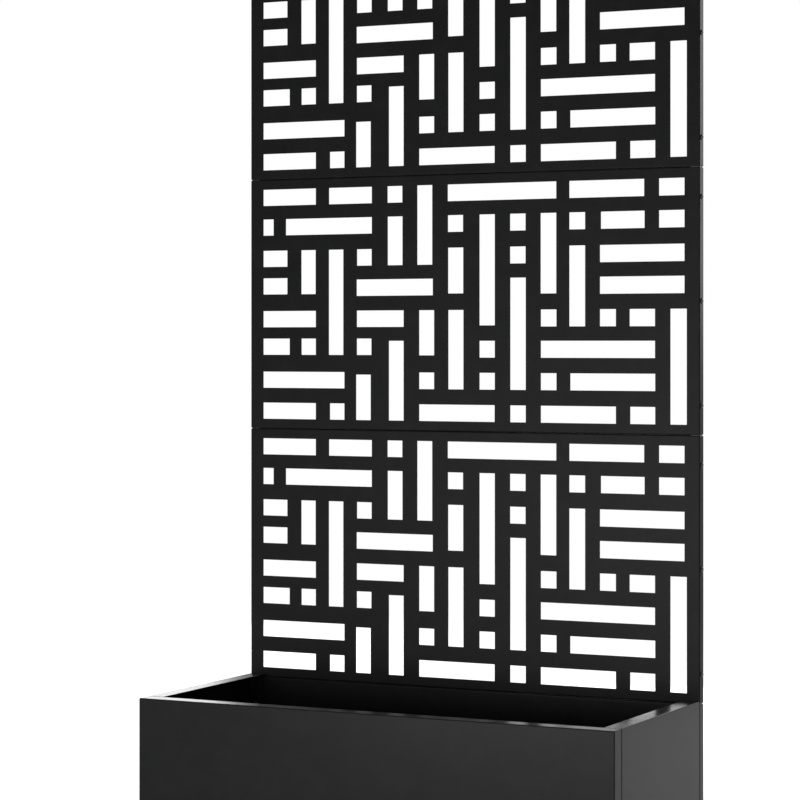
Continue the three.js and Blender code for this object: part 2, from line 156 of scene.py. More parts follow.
class Finish:
    """A material whose nodes are added one by one and read object coordinates."""

    def __init__(self, name):
        self.material = bpy.data.materials.new(name)
        self.material.use_nodes = True
        self.tree = self.material.node_tree
        self.shader = self.tree.nodes["Principled BSDF"]
        self.place = self.node("ShaderNodeTexCoord").outputs["Object"]

    def node(self, kind, inputs=None, **settings):
        node = self.tree.nodes.new(kind)
        for key, value in settings.items():
            setattr(node, key, value)
        for key, value in (inputs or {}).items():
            self.feed(node.inputs[key], value)
        return node

    def feed(self, socket, value):
        if isinstance(value, bpy.types.NodeSocket):
            self.tree.links.new(value, socket)
        else:
            socket.default_value = value

    def noise(self, scale, detail=2.0, roughness=0.5, stretch=(1, 1, 1)):
        moved = self.node("ShaderNodeMapping", {"Vector": self.place, "Scale": stretch})
        return self.node("ShaderNodeTexNoise", {
            "Vector": moved.outputs["Vector"], "Scale": scale, "Detail": detail,
            "Roughness": roughness}).outputs["Fac"]

    def spread(self, source, low, high, start=0.3, end=0.7):
        """Maps a pattern's usual range onto low to high."""
        return self.node("ShaderNodeMapRange", {
            "Value": source, "From Min": start, "From Max": end, "To Min": low,
            "To Max": high}).outputs["Result"]

    def blend(self, factor, first, second):
        return self.node("ShaderNodeMix", {
            MIX_FACTOR: factor, MIX_FIRST: first, MIX_SECOND: second},
            data_type="RGBA").outputs[MIX_RESULT]

    def bump(self, height, distance, under=None):
        inputs = {"Height": height, "Distance": distance, "Strength": 1.0}
        if under is not None:
            inputs["Normal"] = under
        return self.node("ShaderNodeBump", inputs).outputs["Normal"]

    def set(self, **sockets):
        """Feeds the shader's own sockets, named with _ for a space."""
        for name, value in sockets.items():
            self.feed(self.shader.inputs[name.replace("_", " ")], value)


def grey(value, warmth=0.0):
    return (value * (1 + warmth), value, value * (1 - warmth), 1.0)


COOL = -0.03  # how a black coat leans from grey to blue
DUST = grey(0.05, 0.04)
DULL_ZINC = (0.42, 0.43, 0.45, 1)
BRIGHT_ZINC = (0.60, 0.60, 0.58, 1)


def powder_coat(name, tone, roughness, grain=1.0, specular=0.5):
    """Baked powder coat: a faint orange peel, a fine grain and a slightly uneven sheen."""
    coat = Finish(name)
    cloud = coat.noise(3.2, detail=3.0)
    fine = coat.noise(1500.0, roughness=0.6)
    black = coat.blend(cloud, grey(tone * 0.9, COOL), grey(tone * 1.1, COOL))
    patches = coat.noise(19.0, detail=6.0, roughness=0.62)
    dusty = coat.spread(patches, 0.0, 0.05, start=0.45, end=0.85)
    sheen = coat.spread(cloud, roughness - 0.01, roughness + 0.02)
    speckle = coat.spread(fine, -0.03, 0.03)
    peel = coat.bump(coat.noise(260.0), 0.06 * MM * grain)
    coat.set(Base_Color=coat.blend(dusty, black, DUST),
             Roughness=coat.node("ShaderNodeMath", {0: sheen, 1: speckle}).outputs[0],
             Normal=coat.bump(fine, 0.02 * MM * grain, under=peel),
             Specular_IOR_Level=specular)
    return coat.material


def zinc_plate(name):
    """Bright zinc with the slight cloudiness of a passivated surface."""
    zinc = Finish(name)
    cloud = zinc.noise(400.0, detail=4.0)
    zinc.set(Base_Color=zinc.blend(cloud, DULL_ZINC, BRIGHT_ZINC),
             Roughness=zinc.spread(cloud, 0.22, 0.42),
             Normal=zinc.bump(zinc.noise(2500.0), 0.008 * MM),
             Metallic=1.0)
    return zinc.material


def moulded_plastic(name, tone):
    """Black plastic with the fine grain of its mould, and scuffs that run around it."""
    plastic = Finish(name)
    grain = plastic.noise(2200.0, detail=3.0, roughness=0.65)
    scuff = plastic.noise(60.0, detail=5.0, roughness=0.7, stretch=(1, 1, 4))
    worn = plastic.spread(scuff, 0.0, 0.5, start=0.5, end=0.8)
    plastic.set(Base_Color=plastic.blend(worn, grey(tone), grey(tone * 2.4)),
                Roughness=plastic.spread(scuff, 0.5, 0.68),
                Normal=plastic.bump(grain, 0.03 * MM))
    return plastic.material


FINISHES = {
    "planter_coat": powder_coat("satin_black_coat", 0.0066, 0.27, specular=0.053),
    "lattice_coat": powder_coat("lattice_black_coat", 0.0055, 0.40, specular=0.042),
    "upright_coat": powder_coat("upright_black_coat", 0.0070, 0.42, specular=0.35),
    "tray_coat": powder_coat("tray_black_coat", 0.006, 0.55, grain=1.5, specular=0.3),
    "black_bolt": powder_coat("black_bolt_finish", 0.008, 0.32, grain=0.4),
    "zinc_nut": zinc_plate("zinc_plate"),
    "black_plastic": moulded_plastic("moulded_black_plastic", 0.010),
}
EDGE_FINISHES = {
    "planter_coat": powder_coat("satin_black_edge", 0.014, 0.30),
    "lattice_coat": powder_coat("lattice_black_edge", 0.012, 0.38),
    "upright_coat": powder_coat("upright_black_edge", 0.013, 0.36),
    "tray_coat": powder_coat("tray_black_edge", 0.011, 0.48),
}

# ---- Meshes by hand -----------------------------------------------------------------------------


def new_object(name, mesh):
    piece = bpy.data.objects.new(name, mesh)
    bpy.context.scene.collection.objects.link(piece)
    return piece


def object_from(shape, name):
    """Makes an object of a bmesh, with its faces turned outwards."""
    bmesh.ops.recalc_face_normals(shape, faces=shape.faces)
    mesh = bpy.data.meshes.new(name)
    shape.to_mesh(mesh)
    shape.free()
    return new_object(name, mesh)


def folded_tray(name, low, high, opening):
    """The outer skin of a tray that fills a box and is open towards one side, such as '+Y'."""
    axis = "XYZ".index(opening[1])
    rim = (high if opening[0] == "+" else low)[axis]
    shape = bmesh.new()
    size = Vector(high) - Vector(low)
    place = Matrix.Translation((Vector(high) + Vector(low)) / 2) @ Matrix.Diagonal((*size, 1))
    bmesh.ops.create_cube(shape, size=1.0, matrix=place)
    at_rim = [face for face in shape.faces
              if all(abs(corner.co[axis] - rim) < SAME_PLACE for corner in face.verts)]
    bmesh.ops.delete(shape, geom=at_rim, context="FACES_ONLY")
    folds = [edge for edge in shape.edges if len(edge.link_faces) == 2]
    bmesh.ops.bevel(shape, geom=folds, offset=FOLD_RADIUS, segments=FOLD_STEPS, profile=0.5,
                    affect="EDGES")
    return object_from(shape, name)


def trimmed(skin, boxes):
    """Cuts away the parts of a skin that lie in some boxes."""
    shape = bmesh.new()
    shape.from_mesh(skin.data)
    for low, high in boxes:
        for axis in range(3):
            normal = Vector((0, 0, 0))
            normal[axis] = 1
            for level in (low[axis], high[axis]):
                everything = [*shape.verts, *shape.edges, *shape.faces]
                bmesh.ops.bisect_plane(shape, geom=everything, dist=SAME_PLACE,
                                       plane_co=normal * level, plane_no=normal)
        inside = [face for face in shape.faces
                  if all(low[i] < face.calc_center_median()[i] < high[i] for i in range(3))]
        bmesh.ops.delete(shape, geom=inside, context="FACES")
    bmesh.ops.dissolve_limit(shape, angle_limit=FLAT, verts=shape.verts, edges=shape.edges)
    shape.to_mesh(skin.data)
    shape.free()
    return skin


def folded_on(skin, path):
    """Carries a skin's free edge on along a path of (y, z) points that starts at that edge."""
    shape = bmesh.new()
    shape.from_mesh(skin.data)

    def free_edges(y, z):
        return [edge for edge in shape.edges if len(edge.link_faces) == 1 and all(
            math.hypot(end.co.y - y, end.co.z - z) < SAME_PLACE for end in edge.verts)]

    for (y0, z0), (y1, z1) in zip(path, path[1:]):
        grown = bmesh.ops.extrude_edge_only(shape, edges=free_edges(y0, z0))["geom"]
        bmesh.ops.translate(shape, vec=(0, y1 - y0, z1 - z0), verts=[
            part for part in grown if isinstance(part, bmesh.types.BMVert)])
    bmesh.ops.recalc_face_normals(shape, faces=shape.faces)
    if sum(face.normal.y * face.calc_area() for face in shape.faces) > 0:
        bmesh.ops.reverse_faces(shape, faces=shape.faces)
    shape.to_mesh(skin.data)
    shape.free()
    return skin


def extruded_outline(name, outline, low, high):
    """A flat outline of (x, y) points carried up Z."""
    shape = bmesh.new()
    face = shape.faces.new([shape.verts.new((x, y, low)) for x, y in outline])
    end = bmesh.ops.extrude_face_region(shape, geom=[face])
    bmesh.ops.translate(shape, vec=(0, 0, high - low), verts=[
        part for part in end["geom"] if isinstance(part, bmesh.types.BMVert)])
    return object_from(shape, name)


def arc(centre, radius, start, end):
    """Points on an arc between two angles in degrees."""
    turns = [math.radians(start + (end - start) * i / FOLD_STEPS) for i in range(FOLD_STEPS + 1)]
    return [(centre[0] + radius * math.cos(turn), centre[1] + radius * math.sin(turn))
            for turn in turns]


def plain_reach(radius, height, share):
    return radius


def turned(name, profile, steps, reach=plain_reach, closed=False):
    """A profile of (radius, height) points turned about Z, which it starts and ends on.

    A closed profile goes round a bore instead, back to its first point. reach gives the real
    radius for a radius, a height and a share of the turn.
    """
    shape = bmesh.new()
    rings = []
    for radius, height in profile:
        if radius == 0:
            rings.append([shape.verts.new((0, 0, height))])
            continue
        ring = []
        for i in range(steps):
            turn = 2 * math.pi * i / steps
            real = reach(radius, height, i / steps)
            ring.append(shape.verts.new((real * math.cos(turn), real * math.sin(turn), height)))
        rings.append(ring)
    if closed:
        rings.append(rings[0])
    for lower, upper in zip(rings, rings[1:]):
        for i in range(steps):
            corners = [lower[i % len(lower)], lower[(i + 1) % len(lower)],
                       upper[(i + 1) % len(upper)], upper[i % len(upper)]]
            shape.faces.new(list(dict.fromkeys(corners)))
    return object_from(shape, name)


# ---- Geometry Nodes -----------------------------------------------------------------------------


class Tree:
    """A Geometry Nodes tree with named inputs, ending in Realize Instances and Set Material."""

    def __init__(self, name, inputs):
        self.group = bpy.data.node_groups.new(name, "GeometryNodeTree")
        face = self.group.interface
        face.new_socket("Geometry", in_out="INPUT", socket_type="NodeSocketGeometry")
        for label, kind in [*inputs.items(), ("Finish", "Material")]:
            face.new_socket(label, in_out="INPUT", socket_type="NodeSocket" + kind)
        face.new_socket("Geometry", in_out="OUTPUT", socket_type="NodeSocketGeometry")
        self.inputs = self.node("NodeGroupInput").outputs

    def node(self, kind, inputs=None, **settings):
        node = self.group.nodes.new(kind)
        for key, value in settings.items():
            setattr(node, key, value)
        for key, value in (inputs or {}).items():
            for one in value if isinstance(value, list) else [value]:
                if isinstance(one, bpy.types.NodeSocket):
                    self.group.links.new(one, node.inputs[key])
                else:
                    node.inputs[key].default_value = one
        return node

    def attribute(self, name, kind):
        return self.node("GeometryNodeInputNamedAttribute", {"Name": name},
                         data_type=kind).outputs["Attribute"]

    def end(self, geometry):
        real = self.node("GeometryNodeRealizeInstances", {"Geometry": geometry})
        made = self.node("GeometryNodeSetMaterial", {
            "Geometry": real.outputs[0], "Material": self.inputs["Finish"]})
        self.node("NodeGroupOutput", {"Geometry": made.outputs[0]})
        return self


def punching_tree():
    """Cuts square and round holes through a sheet, one at each point of another object."""
    tree = Tree("punched_sheet", {"Cut places": "Object", "Round sides": "Int"})
    places = tree.node("GeometryNodeObjectInfo", {"Object": tree.inputs["Cut places"]})
    square = tree.node("GeometryNodeMeshCube", {"Size": (1, 1, 1)})
    circle = tree.node("GeometryNodeMeshCylinder", {
        "Vertices": tree.inputs["Round sides"], "Radius": 1.0, "Depth": 1.0})
    kinds = tree.node("GeometryNodeGeometryToInstance", {
        "Geometry": [circle.outputs["Mesh"], square.outputs["Mesh"]]})
    cutters = tree.node("GeometryNodeInstanceOnPoints", {
        "Points": places.outputs["Geometry"], "Instance": kinds.outputs[0],
        "Pick Instance": True, "Instance Index": tree.attribute("is_round", "INT"),
        "Rotation": tree.attribute("turn", "FLOAT_VECTOR"),
        "Scale": tree.attribute("size", "FLOAT_VECTOR")})
    real = tree.node("GeometryNodeRealizeInstances", {"Geometry": cutters.outputs[0]})
    cut = tree.node("GeometryNodeMeshBoolean", {
        "Mesh 1": tree.inputs["Geometry"], "Mesh 2": real.outputs[0]}, operation="DIFFERENCE",
        solver="MANIFOLD")
    clean = tree.node("GeometryNodeMergeByDistance", {
        "Geometry": cut.outputs["Mesh"], "Distance": CUT_MERGE})
    return tree.end(clean.outputs[0])


def repeating_tree():
    """Stands a copy of one made piece at each point, turned as the point says."""
    tree = Tree("repeated_piece", {"Piece": "Object"})
    piece = tree.node("GeometryNodeObjectInfo", {"Object": tree.inputs["Piece"]})
    copies = tree.node("GeometryNodeInstanceOnPoints", {
        "Points": tree.inputs["Geometry"], "Instance": piece.outputs["Geometry"],
        "Rotation": tree.attribute("turn", "FLOAT_VECTOR")})
    return tree.end(copies.outputs[0])


def tube_tree():
    """A square tube with rounded corners, from its middle line at the bottom, upwards."""
    tree = Tree("square_tube", {
        "Width": "Float", "Height": "Float", "Wall": "Float", "Corner": "Float",
        "Corner steps": "Int", "Length": "Float"})

    def less_walls(size, walls):
        return tree.node("ShaderNodeMath", {
            0: tree.inputs["Wall"], 1: -walls, 2: tree.inputs[size]},
            operation="MULTIPLY_ADD").outputs[0]

    def ring(walls_in):
        square = tree.node("GeometryNodeCurvePrimitiveQuadrilateral", {
            "Width": less_walls("Width", 2 * walls_in),
            "Height": less_walls("Height", 2 * walls_in)})
        return tree.node("GeometryNodeFilletCurve", {
            "Curve": square.outputs[0], "Count": tree.inputs["Corner steps"],
            "Radius": less_walls("Corner", walls_in)}, mode="POLY").outputs[0]

    rings = tree.node("GeometryNodeJoinGeometry", {"Geometry": [ring(0), ring(1)]})
    end = tree.node("GeometryNodeFillCurve", {"Curve": rings.outputs[0]}, mode="TRIANGLES")
    up = tree.node("ShaderNodeCombineXYZ", {"Z": tree.inputs["Length"]})
    body = tree.node("GeometryNodeExtrudeMesh", {
        "Mesh": end.outputs[0], "Offset": up.outputs[0], "Individual": False})
    base = tree.node("GeometryNodeFlipFaces", {"Mesh": end.outputs[0]})
    whole = tree.node("GeometryNodeJoinGeometry", {
        "Geometry": [body.outputs["Mesh"], base.outputs[0]]})
    closed = tree.node("GeometryNodeMergeByDistance", {
        "Geometry": whole.outputs[0], "Distance": TUBE_MERGE})
    return tree.end(closed.outputs[0])


def grow(piece, tree, **inputs):
    """Adds a tree to a piece as a modifier, and sets the inputs by their sockets' identifiers."""
    modifier = piece.modifiers.new(tree.group.name, "NODES")
    modifier.node_group = tree.group
    identifiers = {item.name: item.identifier for item in tree.group.interface.items_tree
                   if item.in_out == "INPUT"}
    for name, value in inputs.items():
        modifier[identifiers[name.replace("_", " ")]] = value


def settled(piece):
    """Replaces a piece's mesh with what its modifiers make of it, and removes them."""
    piece.data.update()
    bpy.context.view_layer.update()
    graph = bpy.context.evaluated_depsgraph_get()
    made = bpy.data.meshes.new_from_object(
        piece.evaluated_get(graph), preserve_all_data_layers=True, depsgraph=graph)
    made.name = piece.name
    piece.modifiers.clear()
    piece.data = made
    return piece


def places_object(name, places):
    """Points with a size, a turn and a kind each, for a tree to read."""
    mesh = bpy.data.meshes.new(name)
    mesh.from_pydata([place["at"] for place in places], [], [])
    for key, kind in (("size", "FLOAT_VECTOR"), ("turn", "FLOAT_VECTOR"), ("is_round", "INT")):
        layer = mesh.attributes.new(key, kind, "POINT")
        for item, place in zip(layer.data, places):
            if kind == "INT":
                item.value = place.get(key, 0)
            else:
                item.vector = place.get(key, (0, 0, 0))
    return new_object(name, mesh)


UPWARDS = Vector((0, 0, 1))


def turn_to(direction):
    """The Euler angles that turn +Z towards a direction."""
    return tuple(UPWARDS.rotation_difference(direction).to_euler())


def square_cut(low, high):
    low, high = Vector(low), Vector(high)
    return {"at": (low + high) / 2, "size": high - low}


def round_cut(at, direction, radius, reach):
    return {"at": at, "size": (radius, radius, reach), "turn": turn_to(direction), "is_round": 1}


# ---- Finishing a piece --------------------------------------------------------------------------

PUNCHING = punching_tree()
REPEATING = repeating_tree()
TUBE = tube_tree()


def coat(piece, slot):
    """Puts a slot's finish on every face."""
    piece.data.materials.clear()
    piece.data.materials.append(FINISHES[slot])
    for face in piece.data.polygons:
        face.material_index = 0
    return piece


def punched(piece, slot, cuts, sides=HOLE_SIDES):
    """Cuts the holes through a piece."""
    places = places_object("cut_places", cuts)
    grow(piece, PUNCHING, Cut_places=places, Round_sides=sides, Finish=FINISHES[slot])
    settled(piece)
    bpy.data.objects.remove(places)
    return coat(piece, slot)


def thickened(piece):
    """Gives a folded skin the sheet's thickness, inwards."""
    wall = piece.modifiers.new("sheet", "SOLIDIFY")
    wall.thickness = SHEET
    wall.offset = -1.0
    wall.use_even_offset = True
    return settled(piece)


def welded(piece, other):
    """Makes one solid of two, as a weld does."""
    weld = piece.modifiers.new("weld", "BOOLEAN")
    weld.operation = "UNION"
    weld.solver = "MANIFOLD"
    weld.object = other
    settled(piece)
    bpy.data.objects.remove(other)
    return piece


def evenly_shaded(piece):
    """Keeps the flat faces flat where the folds and broken edges meet them."""
    even = piece.modifiers.new("even shading", "WEIGHTED_NORMAL")
    even.keep_sharp = False
    even.weight = 95
    return settled(piece)


def break_edges(piece, slot, width=EDGE_BREAK):
    """Rounds the sharp edges a little, and keeps the flat faces flat in shading."""
    bevel = piece.modifiers.new("broken edges", "BEVEL")
    bevel.width = width
    bevel.segments = 2
    bevel.limit_method = "ANGLE"
    bevel.angle_limit = SHARP
    bevel.use_clamp_overlap = False
    if slot in EDGE_FINISHES:
        piece.data.materials.append(EDGE_FINISHES[slot])
        bevel.material = 1
    low = [min(corner.co[i] for corner in piece.data.vertices) for i in range(3)]
    high = [max(corner.co[i] for corner in piece.data.vertices) for i in range(3)]
    settled(piece)
    for corner in piece.data.vertices:
        corner.co = [min(max(corner.co[i], low[i]), high[i]) for i in range(3)]
    piece.data.shade_smooth()
    return evenly_shaded(piece)


def copied(piece, name, move):
    """A copy of a piece, moved by a matrix. A mirrored one gets shading of its own."""
    mesh = piece.data.copy()
    mesh.name = name
    mesh.transform(move)
    copy = new_object(name, mesh)
    if move.determinant() < 0:
        mesh.flip_normals()
        mesh.attributes.remove(mesh.attributes["custom_normal"])
        evenly_shaded(copy)
    return copy


MIRROR = Matrix.Diagonal((-1, 1, 1, 1))


def fit(piece, slot, *nodes):
    """Hands a finished piece to the frame, in place of CAD nodes."""
    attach(piece, "root")
    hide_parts(*nodes)
    return piece


# ---- Places, read from the CAD nodes ------------------------------------------------------------


def nodes_named(*parts):
    return sorted(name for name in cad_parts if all(part in name for part in parts))


def fixing(node):
    """Where the top of a bolt's head or a nut's seat is, and which way the fixing points."""
    low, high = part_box(node)
    middle = (low + high) / 2
    if node.startswith("back_bolt"):
        outwards = Vector((0, -1, 0))
    elif node.startswith("corner_bolt"):
        outwards = Vector((0, 1, 0))
    else:
        outwards = Vector((math.copysign(1, middle.x), 0, 0))
    end = middle + outwards * abs(outwards.dot(high - low)) / 2
    direction = -outwards if node.startswith("corner_nut") else outwards
    return {"at": end, "turn": turn_to(direction), "direction": direction}


def bolt_holes(nodes, wall):
    """Holes for fixings through one wall, given where the wall's middle is along the fixing."""
    cuts = []
    for node in nodes:
        place = fixing(node)
        at = place["at"].copy()
        if place["direction"].x:
            at.x = math.copysign(wall, at.x)
        else:
            at.y = wall
        cuts.append(round_cut(at, place["direction"], BOLT_HOLE, SHEET + 2 * CUT_REACH))
    return cuts


def stem_holes(nodes):
    """Holes for the stems of the feet, through the sheet they are pushed into."""
    holes = []
    for node in nodes:
        low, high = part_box(node)
        at = (low + high) / 2
        at.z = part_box("front_panel")[0].z
        holes.append(round_cut(at, UPWARDS, STEM_HOLE, 2 * (SHEET + CUT_REACH)))
    return holes


def both_ways(low, high):
    """A square cut at the right, and its mirror image at the left."""
    return [square_cut(low, high), square_cut((-high[0], *low[1:]), (-low[0], *high[1:]))]


# ---- Trellis ------------------------------------------------------------------------------------


def upright_notches(low, high, start, end):
    """Room for the uprights through a pan's bottom or top fold, from one level to another."""
    folds_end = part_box("upright_lower_right")[0].x - FIT_GAP
    return both_ways((folds_end, low.y + SHEET, start),
                     (high.x - SHEET, high.y + CUT_REACH, end))


def slot_cuts(node):
    """The slots of a lattice pan, each found as the four short walls round it in its CAD node."""
    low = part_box(node)[0]
    shape = bmesh.new()
    shape.from_mesh(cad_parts[node].data)
    bmesh.ops.remove_doubles(shape, verts=shape.verts, dist=NODE_MERGE)
    shape.normal_update()
    walls = {face for face in shape.faces
             if max(abs(face.normal.x), abs(face.normal.z)) > SQUARE_ON
             and max(corner.co.y for corner in face.verts) < low.y + SHEET + CUT_MARGIN}
    cuts = []
    while walls:
        ring = [walls.pop()]
        for face in ring:
            near = {other for edge in face.edges for other in edge.link_faces} & walls
            walls -= near
            ring.extend(near)
        corners = [corner.co for face in ring for corner in face.verts]
        lowest = [min(corner[i] for corner in corners) for i in range(3)]
        highest = [max(corner[i] for corner in corners) for i in range(3)]
        lowest[1] -= CUT_REACH
        highest[1] += CUT_REACH
        cuts.append(square_cut(lowest, highest))
    shape.free()
    return sorted(cuts, key=lambda cut: tuple(cut["at"]))


def make_lattice_pans():
    bottom = "lattice_panel_bottom"
    low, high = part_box(bottom)
    bolts = nodes_named("lattice_bolt_bottom")
    pan = thickened(folded_tray("lattice_pan_bottom", low, high, "+Y"))
    punched(pan, "lattice_coat", [
        *upright_notches(low, high, low.z - CUT_REACH, low.z + FOLD_RADIUS),
        *upright_notches(low, high, high.z - FOLD_RADIUS, high.z + CUT_REACH),
        *bolt_holes(bolts, high.x - SHEET / 2),
        *slot_cuts(bottom)])
    break_edges(pan, "lattice_coat")
    fit(pan, "lattice_coat", bottom)
    for level in ("middle", "top"):
        node = "lattice_panel_" + level
        move = Matrix.Translation((0, 0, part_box(node)[0].z - low.z))
        fit(copied(pan, "lattice_pan_" + level, move), "lattice_coat", node)


def square_tube(name, size, corner, slot):
    """A square tube standing on the origin."""
    tube = new_object(name, bpy.data.meshes.new(name))
    grow(tube, TUBE, Width=size[0], Height=size[1], Wall=SHEET, Corner=corner,
         Corner_steps=FOLD_STEPS, Length=size[2], Finish=FINISHES[slot])
    return coat(settled(tube), slot)


def standing_tube(name, node, corner):
    """A square tube of the uprights' kind that fills a node's box."""
    low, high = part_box(node)
    tube = square_tube(name, high - low, corner, "upright_coat")
    tube.data.transform(Matrix.Translation(((low.x + high.x) / 2, (low.y + high.y) / 2, low.z)))
    return tube


def make_uprights():
    for part, levels in (("lower", ["bottom"]), ("upper", ["middle", "top"])):
        node = f"upright_{part}_right"
        low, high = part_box(node)
        tube = standing_tube(f"upright_tube_{part}_right", node, FOLD_RADIUS)
        bolts = [bolt for level in levels for bolt in nodes_named("lattice_bolt_" + level, "right")]
        holes = bolt_holes(bolts, high.x - SHEET / 2)
        if part == "lower":
            holes += bolt_holes(nodes_named("back_bolt_right"), low.y + SHEET / 2)
        punched(tube, "upright_coat", holes)
        break_edges(tube, "upright_coat")
        fit(tube, "upright_coat", node)
        left = copied(tube, f"upright_tube_{part}_left", MIRROR)
        fit(left, "upright_coat", f"upright_{part}_left")


def make_sleeves():
    for hand in ("left", "right"):
        node = "upright_sleeve_" + hand
        tube = standing_tube("joining_sleeve_" + hand, node, FOLD_RADIUS - SHEET)
        fit(break_edges(tube, "upright_coat"), "upright_coat", node)


def squared_rings(name, centre, rings):
    """Rings of rounded squares, given as half width, corner and height, joined and closed."""
    shape = bmesh.new()
    made = []
    for half, corner, height in rings:
        points = []
        for quarter, (a, b) in enumerate(((1, 1), (-1, 1), (-1, -1), (1, -1))):
            middle = (a * (half - corner), b * (half - corner))
            points += arc(middle, corner, 90 * quarter, 90 * quarter + 90)
        made.append([shape.verts.new((centre.x + x, centre.y + y, height)) for x, y in points])
    count = len(made[0])
    for lower, upper in zip(made, made[1:]):
        for i in range(count):
            shape.faces.new((lower[i], lower[(i + 1) % count], upper[(i + 1) % count], upper[i]))
    shape.faces.new(made[0])
    shape.faces.new(made[-1])
    return object_from(shape, name)


def cap_stem(low, seat, fin):
    """A cap's stem: a chamfered tip, then soft fins that press on the upright's inside."""
    core = fin - CAP_FIN_DEPTH
    rings = [(core - CAP_TIP_CHAMFER, CAP_TIP_RADIUS, low)]
    for number in range(CAP_FIN_COUNT):
        base = low + CAP_FIN_START + CAP_FIN_PITCH * number
        rings += [(core, CAP_CORE_RADIUS, base),
                  (fin, CAP_FIN_RADIUS, base + CAP_FIN_SLOPE),
                  (fin, CAP_FIN_RADIUS, base + CAP_FIN_SLOPE + CAP_FIN_LAND),
                  (core, CAP_CORE_RADIUS, base + CAP_FIN_SLOPE + CAP_FIN_LAND + CAP_FIN_BACK)]
    return [*rings, (core, CAP_CORE_RADIUS, seat)]


def cap_head(seat, half):
    """A cap's head: a chamfer where it sits on the upright, its side and its round top edge."""
    rings = [(half - CAP_CHAMFER, CAP_RADIUS - CAP_CHAMFER, seat),
             (half, CAP_RADIUS, seat + CAP_CHAMFER)]
    for step in range(CAP_ROUND_STEPS + 1):
        turn = math.radians(90 * step / CAP_ROUND_STEPS)
        inwards = CAP_ROUND * (1 - math.cos(turn))
        rings.append((half - inwards, CAP_RADIUS - inwards,
                      seat + CAP_SIDE + CAP_ROUND * math.sin(turn)))
    return rings


def make_caps():
    for hand in ("left", "right"):
        node = "upright_cap_" + hand
        low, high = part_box(node)
        half = (high.x - low.x) / 2
        seat = high.z - CAP_SIDE - CAP_ROUND
        rings = cap_stem(low.z, seat, half - SHEET - FIT_GAP) + cap_head(seat, half)
        cap = squared_rings("upright_end_cap_" + hand, (low + high) / 2, rings)
        coat(cap, "black_plastic")
        fit(break_edges(cap, "black_plastic", CAP_BREAK), "black_plastic", node)


# ---- Planter ------------------------------------------------------------------------------------


def make_front_pan():
    low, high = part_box("front_panel")
    pan = thickened(folded_tray("front_pan", low, high, "+Y"))
    punched(pan, "planter_coat", stem_holes(nodes_named("foot_front")))
    for node in nodes_named("corner_nut"):
        pan = welded(pan, threaded_stud(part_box(node)))
    coat(pan, "planter_coat")
    fit(break_edges(pan, "planter_coat"), "planter_coat", "front_panel")


def make_side_pans():
    low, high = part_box("right_panel")
    above_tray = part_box("corner_bracket_right")[0].z
    ledge_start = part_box("back_panel")[0].y - FIT_GAP
    far = CUT_REACH
    pan = folded_tray("side_pan_right", low, high, "-X")
    inside_return = ((low.x - far, low.y - far, low.z - far),
                     (high.x - BOTTOM_RETURN, high.y + far, low.z + FOLD_RADIUS / 2))
    over_ledge = ((low.x - far, ledge_start, low.z - far),
                  (high.x + far, high.y + far, low.z + SHEET + CUT_MARGIN))
    boxes = [inside_return, over_ledge]
    for start, end in ((low.y - far, low.y + FOLD_RADIUS), (high.y - FOLD_RADIUS, high.y + far)):
        boxes.append(((low.x - far, start, low.z - far),
                      (high.x - FOLD_RADIUS, end, above_tray)))
        boxes.append(((low.x - far, start, above_tray - far),
                      (high.x - SIDE_FLANGE, end, high.z - FOLD_RADIUS)))
    thickened(trimmed(pan, boxes))
    punched(pan, "planter_coat", [
        *bolt_holes(nodes_named("corner_bolt_right"), low.y + SHEET / 2),
        *bolt_holes(nodes_named("back_bolt_right"), high.y - SHEET / 2)])
    break_edges(pan, "planter_coat")
    fit(pan, "planter_coat", "right_panel")
    fit(copied(pan, "side_pan_left", MIRROR), "planter_coat", "left_panel")


def make_back_pan():
    low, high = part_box("back_panel")
    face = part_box("lattice_panel_bottom")[0].y
    spare = low.z - FOLD_RADIUS - FOLD_CLEARANCE  # the skin starts lower and is trimmed at low.z
    far = CUT_REACH
    fold = low.z + FOLD_RADIUS
    side = high.x - FOLD_RADIUS - FOLD_CLEARANCE
    boxes = [((low.x - far, face - far, spare - far), (high.x + far, high.y + far, low.z)),
             ((-side, face - far, spare - far), (side, face + SHEET, fold))]
    for start, end in ((-side, RELIEF - side), (side - RELIEF, side)):
        boxes.append(((start, face - far, spare - far), (end, face + SHEET, fold + RELIEF)))
    pan = trimmed(folded_tray("back_pan", (low.x, face, spare), high, "+Y"), boxes)
    centre = (face - FOLD_RADIUS + SHEET, low.z + FOLD_RADIUS)
    ledge = [*arc(centre, FOLD_RADIUS - SHEET, 0, -90), (low.y, low.z + SHEET)]
    thickened(folded_on(pan, ledge))
    punched(pan, "planter_coat", [
        *upright_notches(low, high, high.z - FOLD_RADIUS, high.z + CUT_REACH),
        *bolt_holes(nodes_named("back_bolt"), face + SHEET / 2),
        *stem_holes(nodes_named("foot_back"))])
    fit(break_edges(pan, "planter_coat"), "planter_coat", "back_panel")


